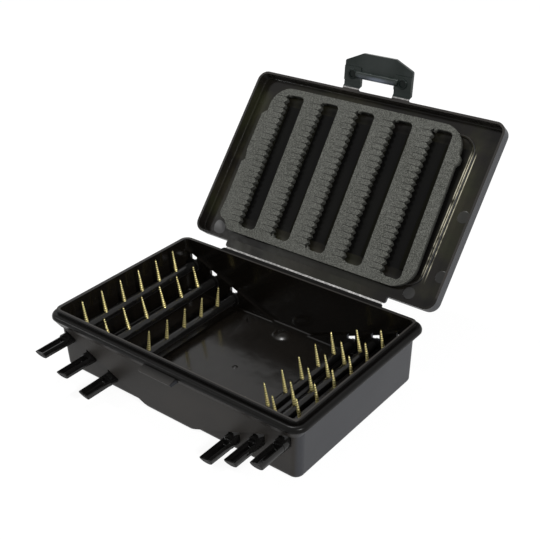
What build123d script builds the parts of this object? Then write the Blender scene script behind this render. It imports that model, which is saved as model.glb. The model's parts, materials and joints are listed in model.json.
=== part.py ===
"""Tube-fly box: a moulded tray with six turning pin spindles, a hinged lid with a slit foam, and a latch.

Millimetres. X runs along the box, Y from its front to its hinge side, Z up from the underside.
The origin is the centre of the underside. The lid and the latch are drawn shut, then swung to where
they stand. The tray, the lid and the latch are one moulding in polypropylene, joined by thin films that
bend: each film is its own node here.
"""
from build123d import *
from math import cos, radians, sin
import os

# Tray
TRAY_LENGTH = 160.0      # over the upstand, along X
TRAY_DEPTH = 101.6       # over the upstand, along Y
TRAY_HEIGHT = 35.15      # underside to the top of the upstand
WALL = 1.8
FLOOR = 1.8
CORNER_RADIUS = 4.5      # upright corners of the upstand
END_DRAFT = 1.7          # each end wall leans in by this much at the underside
FOOT_RADIUS = 2.5        # rounding round the underside
FLOOR_RADIUS = 1.0       # rounding where the walls meet the floor
RECESS = 1.9             # step from the upper to the lower part of the front and rear walls

# Bead round the tray, below the upstand that the lid fits over
UPSTAND = 2.0
BEAD_REACH = 3.0
BEAD_ROUND = 2.0
BEAD_BAND = 0.6
BEAD_TAPER = 4.9
SEAM = 0.15              # how far the bead's taper starts inside the wall

# Spindles: three a side, the outermost highest
RANKS = ("outer", "middle", "inner")
SIDES = {"left": -1, "right": 1}
SPINDLE_INSET = 8.5          # end of the tray to the axis of the outer spindle
SPINDLE_PITCH = 15.2         # along X
SPINDLE_DROP = 13.15         # shoulder of the bead to the axis of the outer spindle
SPINDLE_LIFT = 5.6           # floor to the axis of the inner spindle
STEP_ABOVE_SPINDLE = 4.7     # the stepped line of the walls runs this far above the spindles
ROD_RADIUS = 2.75
REAR_JOURNAL_RADIUS = 2.5
FRONT_JOURNAL_RADIUS = 3.5
COLLAR_RADIUS = 4.2
COLLAR_WIDTH = 1.4
REAR_JOURNAL_STANDOUT = 1.0
FRONT_JOURNAL_STANDOUT = 4.4
JOURNAL_CLEARANCE = 0.05     # radial, in the slots
END_FLOAT = 0.3              # between a collar and its wall
LEAN = {("left", "outer"): -7, ("left", "middle"): -12, ("left", "inner"): 8,
        ("right", "outer"): -10, ("right", "middle"): -11, ("right", "inner"): -9}   # towards +X

# Lever on the front end of a spindle: a scoop, open on the side that the pins point to
LEVER_LENGTH = 16.6
LEVER_ROOT_RADIUS = 3.35
LEVER_TIP_RADIUS = 3.25
LEVER_FLAT = 1.5             # height of the cut top over the spindle's axis
LEVER_RIM = 0.75
LEVER_TROUGH_LIFT = 0.5      # axis of the trough over the spindle's axis
LEVER_NOSE = 2.6             # how far the tip's underside is set back from its lip
LEVER_END_WALL = 1.0
LEVER_TIP_ROUND = 0.5

# Pins in the spindles
PINS_PER_SPINDLE = 6
PIN_PITCH = 13.76
PIN_ROW_CENTRE = -1.4        # the row sits a little towards the front
PIN_STAGGER = 1.8            # neighbouring spindles' pins pass each other by this much
PIN_REACH = 15.5             # axis to tip
PIN_SHANK_RADIUS = 0.8
PIN_SHANK_CLEARANCE = 0.02
PIN_HOLE_BELOW_AXIS = 1.0
PIN_BASE_RADIUS = 1.0
PIN_TIP_RADIUS = 0.42
PIN_GROOVE = 0.22
PIN_RINGS = 5
PIN_RING_SHAPE = (0.15, 0.55, 0.85)  # shares of a ring's pitch: start and end of its crest, and its groove
PIN_POINT = 0.7              # length of the point
PIN_POINT_RADIUS = 0.34

# Lid
LID_WALL = 1.3
LID_PANEL = 1.5
LID_DEPTH = 6.3              # rim to the inside of the panel
LID_CLEARANCE = 0.3          # lid wall to upstand
LID_SEAT_GAP = 0.15          # rim to the tray's shoulder
LID_EDGE_RADIUS = 1.5
LID_INNER_RADIUS = 0.8
LID_OPEN_ANGLE = 131.0       # from shut to where it stands
FRAME_END_MARGIN = 12.4      # inside of the lid's ends to the raised line that frames the foam
FRAME_SIDE_MARGIN = 7.9
FRAME_RADIUS = 11.0
FRAME_WIDTH = 1.4
FRAME_HEIGHT = 0.8
FRAME_ROUND = 0.5

# Film hinges
FILM = 0.3                   # thickness
LID_FILM_WIDTH = 1.0
LATCH_FILM_WIDTH = 0.8
HINGE_LENGTH = 110.0
LID_FLANGE_REACH = 4.3       # lid wall to the hinge line
LID_FLANGE_THICKNESS = 1.6
TRAY_FLANGE_THICKNESS = 1.8
FLANGE_CORNER = 1.5

# Latch, hung from the lid's front edge
LATCH_WIDTH = 44.0
LATCH_WINDOW_WIDTH = 22.0
LATCH_LENGTH = 20.3          # hinge line to the end of the tab
LATCH_SHOULDER = 15.2        # hinge line to where the tab starts to narrow
LATCH_END_WIDTH = 21.2
LATCH_THICKNESS = 1.8
LATCH_SETBACK = 0.8          # hinge line to the latch's inner face
LATCH_CORNER = 1.2
LATCH_ROOT = 1.4
LATCH_BAR_RADIUS = 2.1
LATCH_BAR_DROP = 8.0         # hinge line to the middle of the bar
LATCH_PAD = 0.6
LATCH_PAD_START = 4.1
LATCH_PAD_END = 12.2
LATCH_BOSS_RADIUS = 2.9
LATCH_BOSS_DISH = 1.9
LATCH_BOSS_HEIGHT = 0.6
LATCH_TAB_STANDOFF = 0.6     # how far the lid carries the film out from its wall
LATCH_OPEN_ANGLE = 56.0      # from fastened to where it stands

# Catch on the tray's front, which the latch's bar snaps under
CATCH_CLEARANCE = 0.3        # bar to catch
CATCH_SIDE_CLEARANCE = 0.5   # catch to the sides of the latch's window
CATCH_REACH = 7.6            # from the front wall
CATCH_TIP = 1.75
CATCH_SLOPE = 1.2            # how far its top falls from the bead to the tip
CATCH_UNDERCUT = 1.4

# Foam in the lid
FOAM_END_MARGIN = 14.8       # inside of the lid's ends to the foam
FOAM_SIDE_MARGIN = 4.85
FOAM_RADIUS = 13.0
FOAM_BELOW_RIM = 1.2
FOAM_SHIFT = -2.0            # along X, as it was stuck in
FOAM_TURN = -1.4             # degrees, as it was stuck in
FOAM_SLOTS = 5
FOAM_SLOT_PITCH = 24.3
FOAM_SLOT_WIDTH = 9.4
FOAM_SLOT_BORDER = 5.25      # end of a slot to the foam's edge
FOAM_SLOT_RADIUS = 3.0
TAPE_MARGIN = 6.0            # tape to the inside of the frame

# Places that follow from the sizes above
SHOULDER_Z = TRAY_HEIGHT - UPSTAND
RIM_Z = SHOULDER_Z + LID_SEAT_GAP
PANEL_Z = RIM_Z + LID_DEPTH
LID_OUTER_LENGTH = TRAY_LENGTH + 2 * (LID_CLEARANCE + LID_WALL)
LID_OUTER_DEPTH = TRAY_DEPTH + 2 * (LID_CLEARANCE + LID_WALL)
LID_CORNER = CORNER_RADIUS + LID_CLEARANCE + LID_WALL
FRAME_LENGTH = LID_OUTER_LENGTH - 2 * (LID_WALL + FRAME_END_MARGIN)
FRAME_DEPTH = LID_OUTER_DEPTH - 2 * (LID_WALL + FRAME_SIDE_MARGIN)
FOAM_LENGTH = LID_OUTER_LENGTH - 2 * (LID_WALL + FOAM_END_MARGIN)
FOAM_DEPTH = LID_OUTER_DEPTH - 2 * (LID_WALL + FOAM_SIDE_MARGIN)
FOAM_SLOT_LENGTH = FOAM_DEPTH - 2 * FOAM_SLOT_BORDER
HINGE_Y = LID_OUTER_DEPTH / 2 + LID_FLANGE_REACH
HINGE_Z = SHOULDER_Z
LATCH_Y = -(LID_OUTER_DEPTH / 2 + LATCH_TAB_STANDOFF + LATCH_FILM_WIDTH / 2)
LATCH_Z = RIM_Z + FILM / 2
OUTER_SPINDLE_X = TRAY_LENGTH / 2 - SPINDLE_INSET
OUTER_SPINDLE_Z = SHOULDER_Z - SPINDLE_DROP
SPINDLE_FALL = (OUTER_SPINDLE_Z - FLOOR - SPINDLE_LIFT) / (len(RANKS) - 1)
UPPER_FACE_Y = TRAY_DEPTH / 2
LOWER_FACE_Y = UPPER_FACE_Y - RECESS
LOWER_INNER_Y = LOWER_FACE_Y - WALL
STEP_SLOPE = SPINDLE_FALL / SPINDLE_PITCH


def half_length(z):
    """Half the tray's outside length at height z."""
    return TRAY_LENGTH / 2 - END_DRAFT * (1 - z / TRAY_HEIGHT)


def step_z(x):
    """Height of the line where the front and rear walls step out."""
    return OUTER_SPINDLE_Z + STEP_ABOVE_SPINDLE + (abs(x) - OUTER_SPINDLE_X) * STEP_SLOPE


def spindle_place(side, rank):
    """X and Z of a spindle's axis."""
    steps = RANKS.index(rank)
    x = SIDES[side] * (OUTER_SPINDLE_X - steps * SPINDLE_PITCH)
    return x, OUTER_SPINDLE_Z - steps * SPINDLE_FALL


def slab(length, depth, radius, z_low, z_high):
    """Upright block with rounded corners."""
    return Pos(0, 0, z_low) * extrude(RectangleRounded(length, depth, radius), z_high - z_low)


def tapered(low, high, z_low, z_high):
    """Block between two rounded rectangles, each given as length, depth and corner radius."""
    return loft([Pos(0, 0, z_low) * RectangleRounded(*low), Pos(0, 0, z_high) * RectangleRounded(*high)],
                ruled=True)


def across(points, length):
    """Prism along X, centred, from (y, z) points."""
    return extrude(Plane.YZ * make_face(Polyline(*points, close=True)), length / 2, both=True)


def tray_block(inset, depth, z_low, z_high, radius):
    """Solid of the tray's outside moved in by inset, with its lower edges rounded."""
    low = (2 * (half_length(z_low) - inset), depth - 2 * inset, CORNER_RADIUS - inset)
    high = (2 * (half_length(z_high) - inset), depth - 2 * inset, CORNER_RADIUS - inset)
    block = tapered(low, high, z_low, z_high)
    return fillet(block.edges().group_by(Axis.Z)[0], radius)


def above_step(lift):
    """Everything above the stepped line, raised by lift."""
    far = TRAY_LENGTH
    line = [(-far, step_z(far) + lift), (0, step_z(0) + lift), (far, step_z(far) + lift)]
    outline = Polyline(*line, (far, far), (-far, far), close=True)
    return extrude(Plane.XZ * make_face(outline), TRAY_DEPTH, both=True)


def stepped_tray_block(inset, z_low, z_high, radius, lift):
    """Block that is deeper above the stepped line than below it."""
    upper = tray_block(inset, TRAY_DEPTH, z_low, z_high, radius) & above_step(lift)
    lower = tray_block(inset, TRAY_DEPTH - 2 * RECESS, z_low, z_high, radius)
    return upper + lower


def bead():
    """Thick rounded edge round the tray, which stops short of the upstand's top."""
    band_z = SHOULDER_Z - BEAD_ROUND - BEAD_BAND
    low_z = band_z - BEAD_TAPER
    wide = (TRAY_LENGTH + 2 * BEAD_REACH, TRAY_DEPTH + 2 * BEAD_REACH, CORNER_RADIUS + BEAD_REACH)
    narrow = (2 * (half_length(low_z) - SEAM), TRAY_DEPTH - 2 * SEAM, CORNER_RADIUS - SEAM)
    taper = tapered(narrow, wide, low_z, band_z)
    band = slab(*wide, band_z, SHOULDER_Z)
    return taper + fillet(band.edges().group_by(Axis.Z)[-1], BEAD_ROUND)


def slot(x, z, journal_radius, wall_y):
    """Open-topped slot for a journal, through the lower part of the wall whose middle is at wall_y."""
    radius = journal_radius + JOURNAL_CLEARANCE
    top = step_z(abs(x) + radius) + WALL + radius
    shape = Pos(x, z) * Circle(radius) + Pos(x, (z + top) / 2) * Rectangle(2 * radius, top - z)
    cut = extrude(Plane.XZ * shape, WALL / 2 + JOURNAL_CLEARANCE, both=True)
    return Pos(0, wall_y, 0) * cut


def catch():
    """Lip below the bead that goes through the latch's window; the bar snaps under it."""
    under = LATCH_Z - LATCH_BAR_DROP + LATCH_BAR_RADIUS + CATCH_CLEARANCE
    root = -UPPER_FACE_Y + WALL / 2
    tip = -(UPPER_FACE_Y + CATCH_REACH)
    rise = CATCH_SLOPE * (root - tip) / (CATCH_REACH - BEAD_REACH)
    points = [(root, under), (root, under + CATCH_TIP + rise), (tip, under + CATCH_TIP),
              (tip + CATCH_UNDERCUT, under)]
    return across(points, LATCH_WINDOW_WIDTH - 2 * CATCH_SIDE_CLEARANCE)


def tray_flange():
    """Flange behind the bead that the lid's film grows from."""
    top = HINGE_Z - LID_SEAT_GAP
    edge = HINGE_Y - LID_FILM_WIDTH / 2
    root = UPPER_FACE_Y - WALL / 2
    block = Pos(0, (root + edge) / 2, top - TRAY_FLANGE_THICKNESS / 2) * Box(
        HINGE_LENGTH, edge - root, TRAY_FLANGE_THICKNESS)
    corners = block.edges().filter_by(Axis.Z).group_by(Axis.Y)[-1]
    return fillet(corners, FLANGE_CORNER)


def base_tray():
    outside = stepped_tray_block(0, 0, TRAY_HEIGHT, FOOT_RADIUS, 0)
    outside = outside + bead() + tray_flange() + catch()
    inside = stepped_tray_block(WALL, FLOOR, TRAY_HEIGHT, FLOOR_RADIUS, WALL)
    tray = outside - inside
    rear_wall_y = LOWER_FACE_Y - WALL / 2
    for side in SIDES:
        for rank in RANKS:
            x, z = spindle_place(side, rank)
            tray -= slot(x, z, FRONT_JOURNAL_RADIUS, -rear_wall_y)
            tray -= slot(x, z, REAR_JOURNAL_RADIUS, rear_wall_y)
    return tray


def lever():
    """Scoop that a finger turns the spindle by."""
    y_root = -(LOWER_FACE_Y + FRONT_JOURNAL_STANDOUT)
    y_tip = y_root - LEVER_LENGTH

    def horn(thinner, start, lip, z):
        cone = Cone(LEVER_ROOT_RADIUS - thinner, LEVER_TIP_RADIUS - thinner, start - y_tip,
                    align=(Align.CENTER, Align.CENTER, Align.MIN))
        nose = Plane(origin=(0, lip, LEVER_FLAT), z_dir=(0, -(LEVER_TIP_RADIUS + LEVER_FLAT), -LEVER_NOSE))
        return split(Pos(0, start, z) * Rot(90, 0, 0) * cone, bisect_by=nose, keep=Keep.BOTTOM)

    above = Box(2 * LEVER_ROOT_RADIUS, 2 * LEVER_LENGTH, LEVER_ROOT_RADIUS,
                align=(Align.CENTER, Align.CENTER, Align.MIN))
    body = horn(0, y_root, y_tip, 0) - Pos(0, y_root, LEVER_FLAT) * above
    end_face = body.faces().sort_by(Axis.Y)[0]
    body = fillet(end_face.edges().sort_by(Axis.Z)[0], LEVER_TIP_ROUND)
    trough = horn(LEVER_RIM, y_root - LEVER_END_WALL / 2, y_tip + LEVER_END_WALL, LEVER_TROUGH_LIFT)
    return body - fillet(trough.edges().sort_by(Axis.Y)[-1], LEVER_TIP_ROUND)


def pin_places(rank):
    """Y of each pin on a spindle; the middle spindle's pins stand between its neighbours'."""
    shift = PIN_STAGGER / 2 if rank == "middle" else -PIN_STAGGER / 2
    first = PIN_ROW_CENTRE + shift - PIN_PITCH * (PINS_PER_SPINDLE - 1) / 2
    return [first + PIN_PITCH * i for i in range(PINS_PER_SPINDLE)]


def spindle(rank):
    """Turned rod with its journals and collars, its lever, and a hole for each pin; pins point to +Z."""
    rear_end = LOWER_FACE_Y + REAR_JOURNAL_STANDOUT
    collar_out = LOWER_INNER_Y - END_FLOAT
    collar_in = collar_out - COLLAR_WIDTH
    front_end = -(LOWER_FACE_Y + FRONT_JOURNAL_STANDOUT)
    profile = Polyline((0, rear_end), (REAR_JOURNAL_RADIUS, rear_end), (REAR_JOURNAL_RADIUS, collar_out),
                       (COLLAR_RADIUS, collar_out), (COLLAR_RADIUS, collar_in), (ROD_RADIUS, collar_in),
                       (ROD_RADIUS, -collar_in), (COLLAR_RADIUS, -collar_in), (COLLAR_RADIUS, -collar_out),
                       (FRONT_JOURNAL_RADIUS, -collar_out), (FRONT_JOURNAL_RADIUS, front_end),
                       (0, front_end), close=True)
    rod = revolve(make_face(profile), Axis.Y) + lever()
    bore = Cylinder(PIN_SHANK_RADIUS + PIN_SHANK_CLEARANCE, 2 * ROD_RADIUS,
                    align=(Align.CENTER, Align.CENTER, Align.MIN))
    for y in pin_places(rank):
        rod -= Pos(0, y, -PIN_HOLE_BELOW_AXIS) * bore
    return rod


def pin():
    """Tapered brass pin with grooves, its shank in the rod."""
    start = ROD_RADIUS
    length = PIN_REACH - PIN_POINT - start
    ring = length / PIN_RINGS
    points = [(0, -PIN_HOLE_BELOW_AXIS), (PIN_SHANK_RADIUS, -PIN_HOLE_BELOW_AXIS), (PIN_SHANK_RADIUS, start)]
    crest_start, crest_end, groove = PIN_RING_SHAPE
    for i in range(PIN_RINGS):
        crest = PIN_BASE_RADIUS + (PIN_TIP_RADIUS - PIN_BASE_RADIUS) * i / PIN_RINGS
        low = start + i * ring
        points += [(crest, low + crest_start * ring), (crest, low + crest_end * ring),
                   (crest - PIN_GROOVE, low + groove * ring)]
    points += [(PIN_POINT_RADIUS, PIN_REACH - PIN_POINT), (0, PIN_REACH)]
    return revolve(Plane.XZ * make_face(Polyline(*points, close=True)), Axis.Z)


def on_spindle(shape, side, rank):
    """A shape drawn with the pins pointing to +Z, turned and put on its axis."""
    x, z = spindle_place(side, rank)
    return Pos(x, 0, z) * Rot(0, LEAN[side, rank], 0) * shape


def lid_shut():
    block = slab(LID_OUTER_LENGTH, LID_OUTER_DEPTH, LID_CORNER, RIM_Z, PANEL_Z + LID_PANEL)
    block = fillet(block.edges().group_by(Axis.Z)[-1], LID_EDGE_RADIUS)
    hollow = slab(LID_OUTER_LENGTH - 2 * LID_WALL, LID_OUTER_DEPTH - 2 * LID_WALL, LID_CORNER - LID_WALL,
                  RIM_Z, PANEL_Z)
    lid = block - fillet(hollow.edges().group_by(Axis.Z)[-1], LID_INNER_RADIUS)
    ring = RectangleRounded(FRAME_LENGTH, FRAME_DEPTH, FRAME_RADIUS) - RectangleRounded(
        FRAME_LENGTH - 2 * FRAME_WIDTH, FRAME_DEPTH - 2 * FRAME_WIDTH, FRAME_RADIUS - FRAME_WIDTH)
    ring = extrude(ring, FRAME_HEIGHT)
    lid += Pos(0, 0, PANEL_Z - FRAME_HEIGHT) * fillet(ring.edges().group_by(Axis.Z)[0], FRAME_ROUND)
    edge = HINGE_Y - LID_FILM_WIDTH / 2
    root = LID_OUTER_DEPTH / 2 - LID_WALL / 2
    flange = Pos(0, (root + edge) / 2, RIM_Z + LID_FLANGE_THICKNESS / 2) * Box(
        HINGE_LENGTH, edge - root, LID_FLANGE_THICKNESS)
    lid += fillet(flange.edges().filter_by(Axis.Z).group_by(Axis.Y)[-1], FLANGE_CORNER)
    leg = (LATCH_WIDTH - LATCH_WINDOW_WIDTH) / 2
    reach = LATCH_TAB_STANDOFF + LID_WALL / 2
    tab = Box(leg, reach, LID_FLANGE_THICKNESS)
    for side in SIDES.values():
        x = side * (LATCH_WINDOW_WIDTH + leg) / 2
        lid += Pos(x, LATCH_Y + LATCH_FILM_WIDTH / 2 + reach / 2, RIM_Z + LID_FLANGE_THICKNESS / 2) * tab
    return lid


def latch_shut():
    """Latch as it hangs when fastened, its hinge line on the X axis, its inner face to +Y."""
    half, end = LATCH_WIDTH / 2, LATCH_END_WIDTH / 2
    outline = Polyline((-half, -LATCH_ROOT), (-half, -LATCH_SHOULDER), (-end, -LATCH_LENGTH),
                       (end, -LATCH_LENGTH), (half, -LATCH_SHOULDER), (half, -LATCH_ROOT), close=True)
    shape = make_face(outline)
    shape = fillet(shape.vertices().sort_by(Axis.Y)[:-2], LATCH_CORNER)
    shape -= Pos(0, -LATCH_BAR_DROP / 2) * Rectangle(LATCH_WINDOW_WIDTH, LATCH_BAR_DROP)
    plate = Pos(0, -LATCH_SETBACK - LATCH_THICKNESS, 0) * extrude(Plane.XZ * shape, -LATCH_THICKNESS)
    leg = (LATCH_WIDTH - LATCH_WINDOW_WIDTH) / 2
    outer_face = -LATCH_SETBACK - LATCH_THICKNESS
    film_end = -LATCH_FILM_WIDTH / 2
    root_end = -(LATCH_ROOT + LATCH_THICKNESS)
    root = across([(FILM / 2, film_end), (-FILM / 2, film_end), (outer_face, -LATCH_ROOT),
                   (outer_face, root_end), (-LATCH_SETBACK, root_end), (-LATCH_SETBACK, -LATCH_ROOT)], leg)
    pad_length = LATCH_PAD_END - LATCH_PAD_START
    pad = Box(leg, LATCH_PAD, pad_length)
    boss = Cylinder(LATCH_BOSS_RADIUS, LATCH_BOSS_HEIGHT, rotation=(90, 0, 0))
    boss = fillet(boss.edges().group_by(Axis.Y)[-1], LATCH_BOSS_HEIGHT / 2)
    dish = Cylinder(LATCH_BOSS_DISH, LATCH_BOSS_HEIGHT, rotation=(90, 0, 0))
    pad_face = -LATCH_SETBACK + LATCH_PAD
    latch = plate
    for side in SIDES.values():
        x = side * (LATCH_WINDOW_WIDTH + leg) / 2
        latch += Pos(x, 0, 0) * root
        latch += Pos(x, pad_face - LATCH_PAD / 2, -(LATCH_PAD_START + pad_length / 2)) * pad
        latch += Pos(x, pad_face + LATCH_BOSS_HEIGHT / 2, -LATCH_BAR_DROP) * boss
        latch -= Pos(x, pad_face + LATCH_BOSS_HEIGHT / 2, -LATCH_BAR_DROP) * dish
    bar = Cylinder(LATCH_BAR_RADIUS, LATCH_WINDOW_WIDTH + leg / 2, rotation=(0, 90, 0))
    return latch + Pos(0, -LATCH_SETBACK, -LATCH_BAR_DROP) * bar


def foam_shape():
    """Outline of the foam with its slots open."""
    shape = RectangleRounded(FOAM_LENGTH, FOAM_DEPTH, FOAM_RADIUS)
    for i in range(FOAM_SLOTS):
        x = (i - (FOAM_SLOTS - 1) / 2) * FOAM_SLOT_PITCH
        shape -= Pos(x, 0) * RectangleRounded(FOAM_SLOT_WIDTH, FOAM_SLOT_LENGTH, FOAM_SLOT_RADIUS)
    return Pos(FOAM_SHIFT, 0) * Rot(0, 0, FOAM_TURN) * shape


def foam_shut():
    low = RIM_Z + FOAM_BELOW_RIM
    return Pos(0, 0, low) * extrude(foam_shape(), PANEL_Z - FRAME_HEIGHT - low)


def tape_shut():
    """Strips of double-sided tape inside the raised frame, one under each rib and edge of the foam."""
    length = FRAME_LENGTH - 2 * (FRAME_WIDTH + TAPE_MARGIN)
    depth = FRAME_DEPTH - 2 * (FRAME_WIDTH + TAPE_MARGIN)
    strips = foam_shape() & Rectangle(length, depth)
    return Pos(0, 0, PANEL_Z - FRAME_HEIGHT) * extrude(strips, FRAME_HEIGHT)


def turn_about(y, z, angle):
    """Turn about a line along X through (y, z)."""
    return Pos(0, y, z) * Rot(angle, 0, 0) * Pos(0, -y, -z)


def swing_lid(shape):
    return turn_about(HINGE_Y, HINGE_Z, -LID_OPEN_ANGLE) * shape


def swing_latch(shape):
    """From the latch's own place, hinge line on X, to where it stands on the open lid."""
    return swing_lid(Pos(0, LATCH_Y, LATCH_Z) * Rot(-LATCH_OPEN_ANGLE, 0, 0) * shape)


def turned(points, y, z, angle):
    """(y, z) points turned about (y, z) by an angle."""
    c, s = cos(radians(angle)), sin(radians(angle))
    return [(y + c * (p - y) - s * (q - z), z + s * (p - y) + c * (q - z)) for p, q in points]


def lid_film():
    """Film from the tray's flange to the lid's, bent as the lid stands."""
    edge = HINGE_Y - LID_FILM_WIDTH / 2
    low = HINGE_Z - LID_SEAT_GAP
    high = HINGE_Z + LID_SEAT_GAP
    on_tray = [(edge, low - FILM), (edge, low)]
    on_lid = turned([(edge, high), (edge, high + FILM)], HINGE_Y, HINGE_Z, -LID_OPEN_ANGLE)
    return across(on_tray + on_lid, HINGE_LENGTH - 2 * FLANGE_CORNER)


def latch_film(side):
    """Film from the lid's edge to one leg of the latch, bent as the latch stands."""
    start = LATCH_Y + LATCH_FILM_WIDTH / 2
    on_lid = [(start, LATCH_Z + FILM / 2), (start, LATCH_Z - FILM / 2)]
    end = LATCH_Z - LATCH_FILM_WIDTH / 2
    on_latch = turned([(LATCH_Y + FILM / 2, end), (LATCH_Y - FILM / 2, end)],
                      LATCH_Y, LATCH_Z, -LATCH_OPEN_ANGLE)
    leg = (LATCH_WIDTH - LATCH_WINDOW_WIDTH) / 2
    film = across(on_lid + on_latch, leg)
    return swing_lid(Pos(side * (LATCH_WINDOW_WIDTH + leg) / 2, 0, 0) * film)


def build():
    parts = {
        "base_tray": base_tray(),
        "lid_shell": swing_lid(lid_shut()),
        "latch": swing_latch(latch_shut()),
        "lid_hinge_film": lid_film(),
        "foam_insert": swing_lid(foam_shut()),
        "foam_tape": swing_lid(tape_shut()),
    }
    for name, side in SIDES.items():
        parts[f"latch_film_{name}"] = latch_film(side)
        for rank in RANKS:
            parts[f"spindle_{name}_{rank}"] = on_spindle(spindle(rank), name, rank)
            pins = [on_spindle(Pos(0, y, 0) * pin(), name, rank) for y in pin_places(rank)]
            parts[f"pins_{name}_{rank}"] = Compound(pins)
    return parts


os.makedirs("parts", exist_ok=True)
for node, shape in build().items():
    export_step(shape, f"parts/{node}.step")
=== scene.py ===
import json
from math import atan2, cos, pi, radians, sin

import bmesh
import bpy
from mathutils import Matrix, Vector


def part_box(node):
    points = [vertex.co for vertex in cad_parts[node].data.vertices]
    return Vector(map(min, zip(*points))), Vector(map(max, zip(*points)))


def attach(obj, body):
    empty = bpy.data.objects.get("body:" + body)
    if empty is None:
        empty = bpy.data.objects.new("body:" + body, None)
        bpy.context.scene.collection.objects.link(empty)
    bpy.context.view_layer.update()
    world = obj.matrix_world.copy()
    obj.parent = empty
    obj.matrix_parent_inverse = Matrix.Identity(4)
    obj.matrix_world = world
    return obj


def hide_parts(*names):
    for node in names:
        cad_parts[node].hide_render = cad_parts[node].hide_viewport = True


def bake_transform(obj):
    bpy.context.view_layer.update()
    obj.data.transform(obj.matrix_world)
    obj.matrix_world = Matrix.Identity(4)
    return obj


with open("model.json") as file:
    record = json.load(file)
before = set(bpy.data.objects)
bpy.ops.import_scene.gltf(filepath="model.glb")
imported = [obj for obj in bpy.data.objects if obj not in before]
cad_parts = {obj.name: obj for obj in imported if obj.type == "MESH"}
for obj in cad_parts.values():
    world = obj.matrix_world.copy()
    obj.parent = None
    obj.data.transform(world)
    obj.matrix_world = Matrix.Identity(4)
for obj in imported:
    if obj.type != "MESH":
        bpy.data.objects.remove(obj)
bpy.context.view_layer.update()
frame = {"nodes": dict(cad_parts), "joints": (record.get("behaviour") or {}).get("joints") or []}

# A box for tube flies. The tray, the lid, the latch, the spindles and the tape keep their shapes from the
# frame and get a finish. The pins, the foam and the films of the hinges are made here.

MM = 0.001
SIDES = ("left", "right")
RANKS = ("outer", "middle", "inner")


def mm(*lengths):
    """Lengths given in millimetres, in metres."""
    return tuple(length * MM for length in lengths)


def below(top, drops):
    """Heights that lie below a top by these drops."""
    return tuple(top - drop for drop in drops)


def scaled(shares, length):
    """Lengths given as shares of a length."""
    return tuple(share * length for share in shares)


def add_object(name, data):
    """Puts an object with this data in the scene."""
    thing = bpy.data.objects.new(name, data)
    bpy.context.scene.collection.objects.link(thing)
    return thing


# ---------------------------------------------------------------------------------------------
# Places that come from the frame
# ---------------------------------------------------------------------------------------------

JOINTS = {joint["name"]: joint for joint in frame["joints"]}
LID_HINGE = Vector(JOINTS["lid_hinge"]["pos_m"])
LATCH_HINGE = Vector(JOINTS["latch_hinge"]["pos_m"])
LID_OPEN = radians(JOINTS["lid_hinge"]["range_deg"][1])      # from where it stands to shut
LATCH_OPEN = radians(JOINTS["latch_hinge"]["range_deg"][1])  # from where it stands to fastened


def about(point, angle):
    """Turn about a line along X through a point."""
    return Matrix.Translation(point) @ Matrix.Rotation(angle, 4, "X") @ Matrix.Translation(-point)


SHUT_TO_OPEN = about(LID_HINGE, -LID_OPEN)
LID_UP = SHUT_TO_OPEN.to_3x3() @ Vector((0, -1, 0))     # from the hinge to the lid's free edge
LID_OUT = SHUT_TO_OPEN.to_3x3() @ Vector((0, 0, -1))    # out of the lid's hollow
HANGING_TO_OPEN = about(LATCH_HINGE, -LID_OPEN - LATCH_OPEN)
LATCH_UP = HANGING_TO_OPEN.to_3x3() @ Vector((0, 0, -1))    # from the latch's hinge to its end


def shut_box(node):
    """Lowest and highest corner of a node of the lid, as it lies with the lid shut."""
    turn_back = SHUT_TO_OPEN.inverted()
    points = [turn_back @ v.co for v in frame["nodes"][node].data.vertices]
    low = Vector([min(p[i] for p in points) for i in range(3)])
    high = Vector([max(p[i] for p in points) for i in range(3)])
    return low, high


# ---------------------------------------------------------------------------------------------
# Camera and lamps
# ---------------------------------------------------------------------------------------------

CAMERA_PLACE = Vector((0.2809, -0.3074, 0.2948))
CAMERA_TURN = (60.61, 1.74, 38.70)      # degrees about X, Y and Z
CAMERA_LENS = 63.86                     # mm
CAMERA_FRAME = 36.0                     # mm
CLIP_NEAR = 0.01                        # metres
CLIP_FAR = 50.0
LAMP_AIM = Vector((0, 0, 0.03))
LAMPS = {                               # place and size in metres, power in watts
    "key_softbox": ((1.1, -0.35, 0.8), 0.2, 12.5),
    "top_softbox": ((-0.3, 0.2, 1.1), 0.13, 6.5),
    "front_softbox": ((-0.9, -0.7, 0.65), 0.11, 2.2),
}


def add_camera():
    camera = add_object("camera", bpy.data.cameras.new("camera"))
    camera.data.lens = CAMERA_LENS
    camera.data.sensor_width = CAMERA_FRAME
    camera.data.clip_start = CLIP_NEAR
    camera.data.clip_end = CLIP_FAR
    camera.location = CAMERA_PLACE
    camera.rotation_euler = [radians(angle) for angle in CAMERA_TURN]
    bpy.context.scene.camera = camera


def add_lamps():
    """Square area lamps that face the box."""
    for name, (place, size, power) in LAMPS.items():
        lamp = bpy.data.lights.new(name, "AREA")
        lamp.shape = "SQUARE"
        lamp.size = size
        lamp.energy = power
        holder = add_object(name, lamp)
        holder.location = place
        holder.rotation_euler = (LAMP_AIM - Vector(place)).to_track_quat("-Z", "Y").to_euler()


# ---------------------------------------------------------------------------------------------
# Node trees
# ---------------------------------------------------------------------------------------------

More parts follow.
